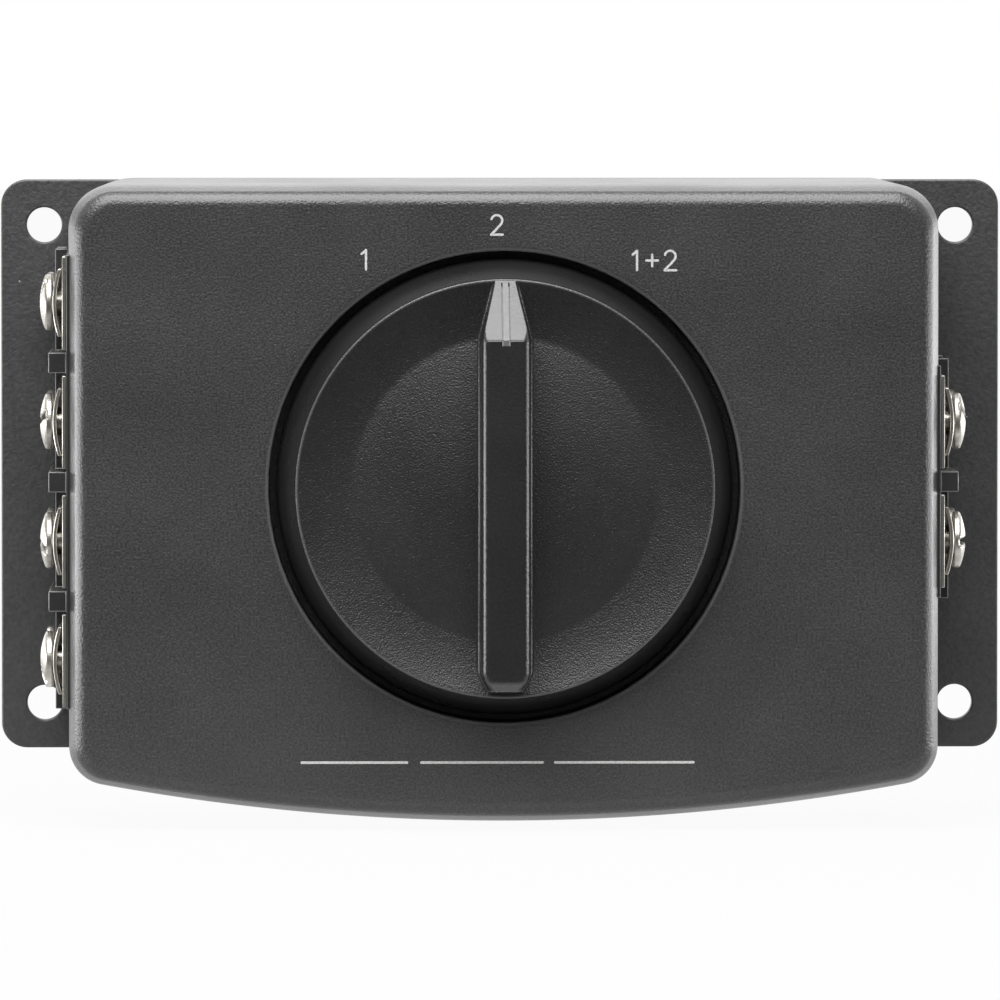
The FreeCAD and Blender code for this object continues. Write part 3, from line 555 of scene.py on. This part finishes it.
def plateMesh():
    # A flat curve with its holes, given thickness and a rounded edge, then turned to face -Y. The
    # rounding grows a curve outwards, so the outline is first drawn in by its width.
    p = plate
    curve = bpy.data.curves.new("plateCurve", "CURVE")
    curve.dimensions = "2D"
    curve.fill_mode = "BOTH"
    curve.extrude = p["thick"] / 2 - p["edge"]
    curve.bevel_depth = p["edge"]
    curve.bevel_resolution = 3
    outline = plateOutline()
    run = np.roll(outline, -1, axis=0) - np.roll(outline, 1, axis=0)
    run /= np.linalg.norm(run, axis=1)[:, None]
    loops = [outline - np.stack([-run[:, 1], run[:, 0]], axis=-1) * p["edge"]]
    loops += [circlePoints((x, z), p["hole"] + p["edge"])
              for x in (-p["holeX"], p["holeX"]) for z in (-p["holeZ"], p["holeZ"])]
    loops += [circlePoints(place, p["screwHole"] + p["edge"] * p["screwHoleEdge"]) for place in postPlaces]
    for points in loops:
        spline = curve.splines.new("POLY")
        spline.points.add(len(points) - 1)
        flat = np.zeros((len(points), 4))
        flat[:, :2] = points
        flat[:, 3] = 1
        spline.points.foreach_set("co", flat.ravel())
        spline.use_cyclic_u = True
    holder = bpy.data.objects.new("plateHolder", curve)
    mesh = bpy.data.meshes.new_from_object(holder)
    bpy.data.objects.remove(holder)
    x, z, y = valuesOf(mesh.vertices, "co", 3).T
    turned = np.stack([x, plateY + p["thick"] / 2 - y, z], axis=-1)
    mesh.vertices.foreach_set("co", turned.ravel())
    mesh.name = "backPlate"
    return mesh


def hardenFlats(mesh, facing=0.9999):
    # hard shading edges round the flats that face front or back, so that the rounding's slope isn't
    # spread over them: the edges that have such a flat on one side only
    flat = np.abs(valuesOf(mesh.polygons, "normal", 3)[:, 1]) > facing
    flatCorners = np.repeat(flat, valuesOf(mesh.polygons, "loop_total", kind=np.int32))
    edgeOf = valuesOf(mesh.loops, "edge_index", kind=np.int32)
    hard = valuesOf(mesh.edges, "use_edge_sharp", kind=bool)
    hard |= np.bincount(edgeOf, weights=flatCorners, minlength=len(hard)) == 1
    mesh.edges.foreach_set("use_edge_sharp", hard)


mesh = cleaned(plateMesh())
placed(mesh, "housing", plateMaterial, ("back_plate",), sharp=32)
hardenFlats(mesh)
print("plate made")

knob = {"skirt": 26.9 * mm, "skirtY": faceY + 4.2 * mm, "straight": 2.7 * mm, "rim": 24.6 * mm,
        "rimY": faceY - 6.0 * mm, "ring": 17.9 * mm, "ringY": faceY - 5.0 * mm, "domeY": faceY - 6.1 * mm,
        "wall": 1.8 * mm, "rimLand": 0.22 * mm, "rimRound": 0.18 * mm, "dip": 0.15 * mm, "step": 0.01 * mm,
        "hub": 6.0 * mm, "hubY": faceY - 1.0 * mm, "bore": 3.03 * mm, "boreY": faceY - 4.7 * mm,
        "skirtEdge": 0.15 * mm, "coneEnds": (0.3 * mm, 0.12 * mm), "rimLean": 0.05 * mm,
        "core": 0.02 * mm, "ringGap": 0.1 * mm, "domeGap": 0.4 * mm, "innerCut": (1.8 * mm, 0.6 * mm),
        "rubAt": 24.5 * mm, "rubWidth": 0.2 * mm, "rubDepth": 0.15 * mm, "turnedFrom": 0.08 * mm}


def knobLevel(radius):
    # depth of the knob's front at a radius: the dome falls with the square of the radius, a step, then
    # the hollow ring, straight with a parabolic dip
    k = knob
    dome = k["domeY"] + (k["ringY"] - k["step"] - k["domeY"]) * (radius / k["ring"]) ** 2
    t = np.clip((radius - k["ring"]) / (k["rim"] - k["rimLand"] - k["ring"]), 0, 1)
    hollowRing = k["ringY"] + (k["rimY"] - k["ringY"]) * t + k["dip"] * 4 * t * (1 - t)
    return np.where(radius < k["ring"] - k["ringGap"], dome, hollowRing)


def knobBody():
    # profile turned about the dial's axis: skirt, rim, hollow ring, domed centre, then the inside
    k = knob
    coneY = k["skirtY"] - k["straight"]
    edge, (coneLow, coneHigh) = k["skirtEdge"], k["coneEnds"]
    outer = [(k["skirt"] - edge, k["skirtY"]), (k["skirt"], k["skirtY"] - edge),
             (k["skirt"], coneY + coneLow)]
    t = np.linspace(0.04, 1, 9)
    coneR = k["skirt"] + (k["rim"] + coneHigh - k["skirt"]) * t
    outer += list(zip(coneR, coneY + (k["rimY"] + k["rimRound"] - coneY) * t))
    outer += arcPoints((k["rim"] - k["rimRound"] + k["rimLean"], k["rimY"] + k["rimRound"]),
                       k["rimRound"], 0, -90, 6).tolist()
    outer += [(k["rim"] - k["rimLand"], k["rimY"] + k["step"])]
    r = np.linspace(k["rim"] - k["rimLand"] - k["ringGap"], k["ring"], 22)
    outer += list(zip(r, knobLevel(r)))
    r = np.linspace(k["ring"] - k["domeGap"], k["core"], 20)
    outer += list(zip(r, knobLevel(r)))
    ceiling = k["ringY"] + k["wall"]
    rimR, skirtR = k["rim"] - k["wall"], k["skirt"] - k["wall"]
    cutStart, cutEnd = k["innerCut"]
    inner = [(k["core"], k["boreY"]), (k["bore"], k["boreY"]), (k["bore"], k["hubY"]), (k["hub"], k["hubY"]),
             (k["hub"], ceiling), (rimR - cutStart, ceiling),
             (rimR - cutEnd, ceiling - (cutStart - cutEnd)), (skirtR, coneY), (skirtR, k["skirtY"])]
    return revolved(outer + inner, (0, dialZ))


bar = {"topY": knobLow.y, "footY": faceY - 3.4 * mm, "half": 2.8 * mm, "draft": 0.12 * mm,
       "round": 0.95 * mm, "pointerRound": 0.14 * mm, "roundRun": 1.2 * mm, "fillet": 0.5 * mm,
       "flatTop": 17.6 * mm, "flatLow": -22.5 * mm, "soft": 0.12 * mm, "softDepth": 0.09 * mm,
       "tip": 24.45 * mm, "tipHalf": 1.2 * mm, "tail": -24.0 * mm, "knee": (-23.5 * mm, 1.5 * mm),
       "tailCut": (-21.5 * mm, 1.2 * mm), "tailPower": 1.3, "groove": 0.47 * mm, "grooveDepth": 0.5 * mm,
       "grooveStart": 16.95 * mm, "grooveEnd": 24.2 * mm, "grooveEase": 0.02 * mm, "kneeGap": 0.1 * mm,
       "rubWidth": 0.12 * mm, "rubDepth": 2 * mm}


def barSurface():
    # Sections across the bar, one per station s along it: foot, fillet, leaning wall, rounded shoulder,
    # top with the pointer's groove, and down the other side. The top is flat, then falls straight to
    # both ends, at the tail over a knee; the half width is constant, narrows in a straight line over the
    # pointer and curves in at the tail.
    b = bar
    rimY, topY = knob["rimY"], b["topY"]
    tail, tip, low, high, soft = b["tail"], b["tip"], b["flatLow"], b["flatTop"], b["soft"]
    (knee, kneeDrop), (cutFrom, cut) = b["knee"], b["tailCut"]
    start, end = b["grooveStart"], b["grooveEnd"]
    hair = 0.01 * mm
    s = np.concatenate([np.linspace(tail, knee, 5), np.linspace(knee + b["kneeGap"], low - soft, 6),
                        np.linspace(low - 0.08 * mm, low + soft, 4),
                        np.linspace(low + 0.3 * mm, low + 1.2 * mm, 5),
                        np.linspace(low + 2 * mm, start - 0.3 * mm, 14),
                        np.linspace(start, high - soft, 5), high + np.array([-0.5, 0.0, 0.5, 1.0]) * soft,
                        np.linspace(high + 0.5 * mm, end, 12), [end + hair, tip]])
    top = np.interp(s, [tail, knee, low, high, tip], [rimY, topY + kneeDrop, topY, topY, rimY])
    # the two edges where the flat begins and ends are eased by a short parabola
    for edge in (low, high):
        top = top + b["softDepth"] * np.clip(1 - np.abs(s - edge) / soft, 0, 1) ** 2
    past = np.clip((cutFrom - s) / (cutFrom - tail), 0, 1)
    half = np.interp(s, [high, tip], [b["half"], b["tipHalf"]]) - cut * past ** b["tailPower"]
    lean = b["draft"] / (rimY - topY)
    depth = np.clip(s - start, 0, b["grooveDepth"]) * (s <= end)
    r = np.interp(s, [high, high + b["roundRun"]], [b["round"], b["pointerRound"]])
    level = knobLevel(np.hypot(s, half + b["fillet"])) + hair
    hollow = np.clip(0.5 * (level - top), hair, b["fillet"])
    r = np.minimum(r, np.maximum(0.4 * (level - top), 2 * hair))
    foot = half + lean * (level - hollow - top)
    columns = [(foot + hollow, np.full_like(s, b["footY"]))]
    columns += [(foot + hollow * (1 - np.cos(a)), level - hollow * (1 - math.sin(a)))
                for a in np.radians(np.linspace(90, 0, 7))]
    columns += [(half - r * (1 - np.cos(a)) + lean * r * (1 - math.sin(a)), top + r * (1 - math.sin(a)))
                for a in np.radians(np.linspace(0, 90, 8))]
    groove = np.full_like(s, b["groove"])
    ease = np.minimum(depth, b["grooveEase"])
    columns += [(groove + ease, top), (groove, top + ease), (groove, top + depth)]
    rightSide = [np.stack([x, y], axis=-1) for x, y in columns]
    section = np.array(rightSide + [side * (-1, 1) for side in rightSide[::-1]])      # columns, stations, 2
    grid = np.empty((section.shape[0], len(s), 3))
    grid[..., :2] = section
    grid[..., 2] = dialZ + s
    return startClosed(grid)


def tailHighlight(x, y, z):
    # a painted highlight from the bar's knee to its tail, near the top, standing in for the light its tail slope
    # reflects
    past = np.clip((bar["knee"][0] + bar["kneeGap"] - (z - dialZ)) / bar["rubWidth"], 0, 1)
    return past * (y < bar["topY"] + bar["knee"][1] + bar["rubDepth"])


mesh = cleaned(surfaceOf("knobBody", knobBody()))
turned = placed(mesh, "knob", knobMaterial, ("knob",), sharp=30)
# a painted highlight ring on the knob's rim edge, standing in for its edge highlight
paintHighlight(turned, ringHighlight(knob["rubAt"], knob["rubWidth"], knob["rimY"] + knob["rubDepth"]))
# the cone gets a lighter copy of the knob's material: painted light on its shaded sides
mesh.materials.append(coneMaterial)
x, y, z = valuesOf(mesh.polygons, "center", 3).T
onCone = np.hypot(x, z - dialZ) > knob["rim"] + knob["turnedFrom"]
mesh.polygons.foreach_set("material_index", onCone.astype(np.int32))
mesh = cleaned(surfaceOf("knobBar", barSurface(), closeU=False))
grip = placed(mesh, "knob", barMaterial, ("knob",), sharp=30)
# a painted highlight on the bar's tail slope, standing in for the light it reflects
paintHighlight(grip, tailHighlight)
print("knob made")

# Printed position numbers and plain rules, as strokes with round ends; places are millimetres on the face.
marks = {"height": 2.3, "stroke": 0.27, "gap": 0.22, "lift": 0.012 * mm, "layerLift": 0.003 * mm,
         "sunk": 0.01 * mm, "ruleStroke": 0.3, "ruleZ": -34.2,
         "places": {"1": (-16.35, 25.1), "2": (-0.9, 29.2), "1+2": (17.7, 25.0)},
         "rules": ((-23.9, -11.5), (-9.8, 4.5), (6.0, 22.3))}


def strokeMesh(path, width, layer=0):
    # a flat ribbon along a path of (x, z): the path moved to both sides, with half-circle ends; the
    # second of two crossing strokes is a hair thicker
    path = np.array(path, dtype=float)
    run = np.gradient(path, axis=0)
    run /= np.linalg.norm(run, axis=1)[:, None]
    side = np.stack([-run[:, 1], run[:, 0]], axis=-1)
    turn = np.radians(np.linspace(90, 8, 5))
    caps = [path[k] + sign * run[k] * width / 2 * np.cos(turn)[:, None] for k, sign in ((0, -1), (-1, 1))]
    middle = np.concatenate([caps[0][::-1], path, caps[1]])
    sides = np.concatenate([np.repeat(side[:1], len(turn), 0), side, np.repeat(side[-1:], len(turn), 0)])
    half = np.concatenate([np.sin(turn)[::-1], np.ones(len(path)), np.sin(turn)]) * width / 2
    left, right = middle + sides * half[:, None], middle - sides * half[:, None]
    front, back = faceY - marks["lift"] - marks["layerLift"] * layer, faceY + marks["sunk"]
    loop = [(left, front), (right, front), (right, back), (left, back)]
    grid = np.array([np.insert(xz * mm, 1, y, axis=1) for xz, y in loop])
    return cleaned(surfaceOf("stroke", startClosed(grid), closeU=False))


def digitStrokes(symbol):
    # strokes of one symbol in a box of height 1 about its own middle, and its width
    if symbol == "1":
        return [[(0.02, -0.5), (0.02, 0.0), (0.02, 0.5)], [(-0.2, 0.3), (-0.1, 0.38), (0.02, 0.5)]], 0.4
    if symbol == "+":
        return [[(-0.3, 0.0), (0.0, 0.0), (0.3, 0.0)], [(0.0, -0.3), (0.0, 0.0), (0.0, 0.3)]], 0.75
    bowl = arcPoints((0.0, 0.22), 0.28, 165, -35, 14).tolist()
    return [bowl + [(0.05, -0.15), (-0.29, -0.5)], [(-0.29, -0.5), (0.0, -0.5), (0.3, -0.5)]], 0.66


for number, (words, (x, z)) in enumerate(marks["places"].items(), 1):
    sizes = [digitStrokes(symbol)[1] + marks["gap"] for symbol in words]
    starts = np.cumsum([0] + sizes[:-1]) - sum(sizes) / 2
    meshes = []
    for symbol, start, size in zip(words, starts, sizes):
        for layer, path in enumerate(digitStrokes(symbol)[0]):
            shifted = np.array(path) * marks["height"] + (x + (start + size / 2) * marks["height"], z)
            meshes.append(strokeMesh(shifted, marks["stroke"], layer))
    placed(joined("positionMark%d" % number, meshes), "housing", ink)
meshes = [strokeMesh([(x, marks["ruleZ"]) for x in np.linspace(x0, x1, 5)], marks["ruleStroke"])
          for x0, x1 in marks["rules"]]
placed(joined("printedRules", meshes), "housing", ink)
print("marks made")

# Screws, clamps, terminals and what is inside keep their CAD shapes; those seen outside get round edges.
finishes = {"dark_plate": plateMaterial, "dark_moulding": coverMaterial, "knob_moulding": knobMaterial,
            "pale_inlay": stripe, "block_moulding": blockMaterial, "terminal_metal": nickelMaterial,
            "nickel": nickelMaterial, "steel": zincMaterial, "spring_steel": springMaterial,
            "phenolic": laminate, "contact_brass": brassMaterial, "wire_cover": vinyl}
roundEdges = {"_terminal_block": 0.11 * mm, "_terminal_plates": 0.08 * mm, "_screw_": 0.2 * mm,
              "_clamp_": 0.09 * mm}
for name, node in sorted(nodes.items()):
    finish = finishes[slotOf[name]]
    node.data.materials.clear()
    node.data.materials.append(finish)
    for part, width in roundEdges.items():
        if part in name:
            # the terminal blocks' rounded edges take the pale painted-highlight material
            softened(name, finish, width, edgeHighlightMaterial if part == "_terminal_block" else None)
print("hardware finished")

# The cover's four countersunk screws, with the slots they are driven by.
screwLow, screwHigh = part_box("cover_screws")
sunk = {"head": (screwHigh.x - screwLow.x) / 2 - posts["x"], "land": 0.5 * mm, "neck": 1.45 * mm,
        "slot": 0.55 * mm, "slotEdge": 0.02 * mm, "slotDepth": 0.42 * mm, "core": 0.02 * mm,
        "turns": (24, -41, 8, 63)}


def slottedScrew(x0, z0, turn):
    # The head's land is built in strips across the slot, each a rectangle whose half length follows the
    # circle (root of head^2 - u^2) and whose outer level drops by the slot's depth inside it.
    c = sunk
    back = screwHigh.y
    edge = c["slot"] + np.array([-1, 1]) * c["slotEdge"]
    side = c["head"] * np.sin(np.radians(np.linspace(12, 89, 14)))
    side = side[side > edge[1]]
    u = np.concatenate([-side[::-1], -edge[::-1], edge, side])
    half = np.sqrt(c["head"] ** 2 - u ** 2)
    outer = np.where(np.abs(u) < c["slot"], back - c["slotDepth"], back)
    inner = np.full_like(u, back - c["land"])
    section = [(-half, outer), (half, outer), (half, inner), (-half, inner)]
    turned = np.radians(turn)
    grid = np.array([np.stack([x0 + u * np.cos(turned) - v * np.sin(turned), y,
                               z0 + u * np.sin(turned) + v * np.cos(turned)], axis=-1) for v, y in section])
    land = cleaned(surfaceOf("land", startClosed(grid), closeU=False))
    # under the land a cone of 45 degrees, then the neck
    landY, end = back - c["land"], screwLow.y
    profile = [(c["core"], landY), (c["head"], landY), (c["neck"], landY + c["neck"] - c["head"]),
               (c["neck"], end), (c["core"], end)]
    return [land, cleaned(surfaceOf("cone", revolved(profile, (x0, z0), 48)))]


mesh = joined("coverScrews", [part for (x, z), turn in zip(postPlaces, sunk["turns"])
                              for part in slottedScrew(x, z, turn)])
placed(mesh, "housing", zincMaterial, ("cover_screws",), sharp=25)

# A long lens, a little above and beside the front axis (in degrees).
view = {"distance": 1.4, "elevation": 2.25, "azimuth": -1.0, "aim": (0.0, -2.0 * mm, -4.4 * mm),
        "lens": 418.5, "sensor": 36}
aim = Vector(view["aim"])
up, around = math.radians(view["elevation"]), math.radians(view["azimuth"])
away = Vector((math.sin(around) * math.cos(up), -math.cos(around) * math.cos(up), math.sin(up)))
cameraData = bpy.data.cameras.new("camera")
cameraData.lens = view["lens"]
cameraData.sensor_width = view["sensor"]
cameraData.clip_start = 0.01
cameraData.clip_end = 100
camera = bpy.data.objects.new("camera", cameraData)
camera.location = aim + away * view["distance"]
camera.rotation_euler = (-away).to_track_quat("-Z", "Y").to_euler()
scene.collection.objects.link(camera)
scene.camera = camera

# Softboxes round the object, seen in its rounded edges: each stands at an angle off the front axis,
# covers that many degrees along the arc and across it, and is so many times as bright as white. The
# side boxes are narrow and near, so the face darkens towards its middle; the rear ones are dimmer.
softboxes = {
    "top": {"side": (-0.12, 1), "angle": 61, "span": 66, "width": 50, "distance": 0.7, "strength": 7.2},
    "left": {"side": (-1, -0.05), "angle": 89, "span": 60, "width": 20, "distance": 0.2, "strength": 6.2},
    "right": {"side": (1, -0.08), "angle": 96, "span": 72, "width": 18, "distance": 0.3, "strength": 5.2},
    "topRear": {"side": (0, 1), "angle": 150, "span": 28, "width": 60, "distance": 0.6, "strength": 1.3},
    "leftRear": {"side": (-1, -0.1), "angle": 151, "span": 26, "width": 20, "distance": 0.6, "strength": 1.4},
    "rightRear": {"side": (1, -0.1), "angle": 148, "span": 32, "width": 20, "distance": 0.6, "strength": 1.8}}
for name, box in softboxes.items():
    lamp = bpy.data.lights.new(name + "Softbox", "AREA")
    lamp.shape = "RECTANGLE"
    reach = 2 * box["distance"]
    lamp.size, lamp.size_y = (reach * math.tan(math.radians(box[key]) / 2) for key in ("width", "span"))
    lamp.energy = box["strength"] * math.pi * lamp.size * lamp.size_y
    tilt = math.radians(box["angle"])
    outward = Vector((box["side"][0], 0, box["side"][1])).normalized()
    back = outward * math.sin(tilt) + Vector((0, -math.cos(tilt), 0))
    along = outward * math.cos(tilt) + Vector((0, math.sin(tilt), 0))
    holder = bpy.data.objects.new(name + "Softbox", lamp)
    holder.location = back * box["distance"]
    holder.rotation_euler = Matrix((along.cross(back), along, back)).transposed().to_euler()
    holder.visible_camera = False
    scene.collection.objects.link(holder)

# White all round for camera, mirror and glass rays, but dimmer towards the front, where a studio is dark.
studio = {"soft": 0.2, "front": 0.15, "frontEnd": -0.6, "frontStart": 0.1}
world = bpy.data.worlds.new("studio")
scene.world = world
world.use_nodes = True
tree = world.node_tree
tree.nodes.clear()
rays = addNode(tree, "ShaderNodeLightPath").outputs
seen = addNode(tree, "ShaderNodeMath", {"operation": "MAXIMUM"},
               {0: rays["Is Camera Ray"], 1: rays["Is Glossy Ray"]})
seen = addNode(tree, "ShaderNodeMath", {"operation": "MAXIMUM"}, {0: seen, 1: rays["Is Transmission Ray"]})
plain = addNode(tree, "ShaderNodeMapRange", {3: studio["soft"], 4: 1.0}, {0: seen})
direction = addNode(tree, "ShaderNodeTexCoord").outputs["Generated"]
depth = addNode(tree, "ShaderNodeSeparateXYZ", links={0: direction})
dim = addNode(tree, "ShaderNodeMapRange",
              {1: studio["frontEnd"], 2: studio["frontStart"], 3: studio["front"], 4: 1.0},
              {0: depth.outputs["Y"]})
direct = addNode(tree, "ShaderNodeMath", {"operation": "SUBTRACT", 0: 1.0}, {1: rays["Is Glossy Ray"]})
dim = addNode(tree, "ShaderNodeMath", {"operation": "MAXIMUM"}, {0: dim, 1: direct})
strength = addNode(tree, "ShaderNodeMath", {"operation": "MULTIPLY"}, {0: plain, 1: dim})
sky = addNode(tree, "ShaderNodeBackground", {"Color": (1, 1, 1, 1)}, {"Strength": strength})
addNode(tree, "ShaderNodeOutputWorld", links={"Surface": sky})

# The floor is white to the eye with a faint shadow; in reflections it is dimmed towards the front.
floor = {"colour": "#9c9c9c", "below": 0.4 * mm, "reach": 6.0, "eye": 0.95, "dimming": -0.88,
         "dimEnd": -130 * mm, "dimStart": -50 * mm}


def floorPiece():
    # a plain pale floor just under the object
    material = bpy.data.materials.new("paleFloor")
    material.use_nodes = True
    tree = material.node_tree
    tree.nodes.clear()
    lit = addNode(tree, "ShaderNodeBsdfDiffuse", {"Color": floor["colour"]})
    rays = addNode(tree, "ShaderNodeLightPath").outputs
    mirrored = addNode(tree, "ShaderNodeMath", {"operation": "MAXIMUM"},
                       {0: rays["Is Glossy Ray"], 1: rays["Is Transmission Ray"]})
    place = addNode(tree, "ShaderNodeTexCoord").outputs["Object"]
    depth = addNode(tree, "ShaderNodeSeparateXYZ", links={0: place})
    pool = addNode(tree, "ShaderNodeMapRange",
                   {1: floor["dimEnd"], 2: floor["dimStart"], 3: floor["dimming"], 4: 0.0},
                   {0: depth.outputs["Y"]})
    level = addNode(tree, "ShaderNodeMath", {"operation": "MULTIPLY_ADD", 2: 1.0}, {0: mirrored, 1: pool})
    glow = addNode(tree, "ShaderNodeEmission", {"Color": (1, 1, 1, 1)}, {"Strength": level})
    seen = addNode(tree, "ShaderNodeMath", {"operation": "MULTIPLY", 1: floor["eye"]},
                   {0: rays["Is Camera Ray"]})
    share = addNode(tree, "ShaderNodeMath", {"operation": "MAXIMUM"}, {0: mirrored, 1: seen})
    both = addNode(tree, "ShaderNodeMixShader", links={0: share, 1: lit, 2: glow})
    addNode(tree, "ShaderNodeOutputMaterial", links={"Surface": both})
    reach, height = floor["reach"], coverLow.z - floor["below"]
    points = np.array([[(x, y, height) for x in (-reach, reach)] for y in (-reach, reach)])
    mesh = surfaceOf("floor", points, closeU=False, closeV=False)
    mesh.materials.append(material)
    piece = bpy.data.objects.new("floor", mesh)
    scene.collection.objects.link(piece)


floorPiece()
scene.view_settings.view_transform = "Standard"
print("camera, light and floor ready")
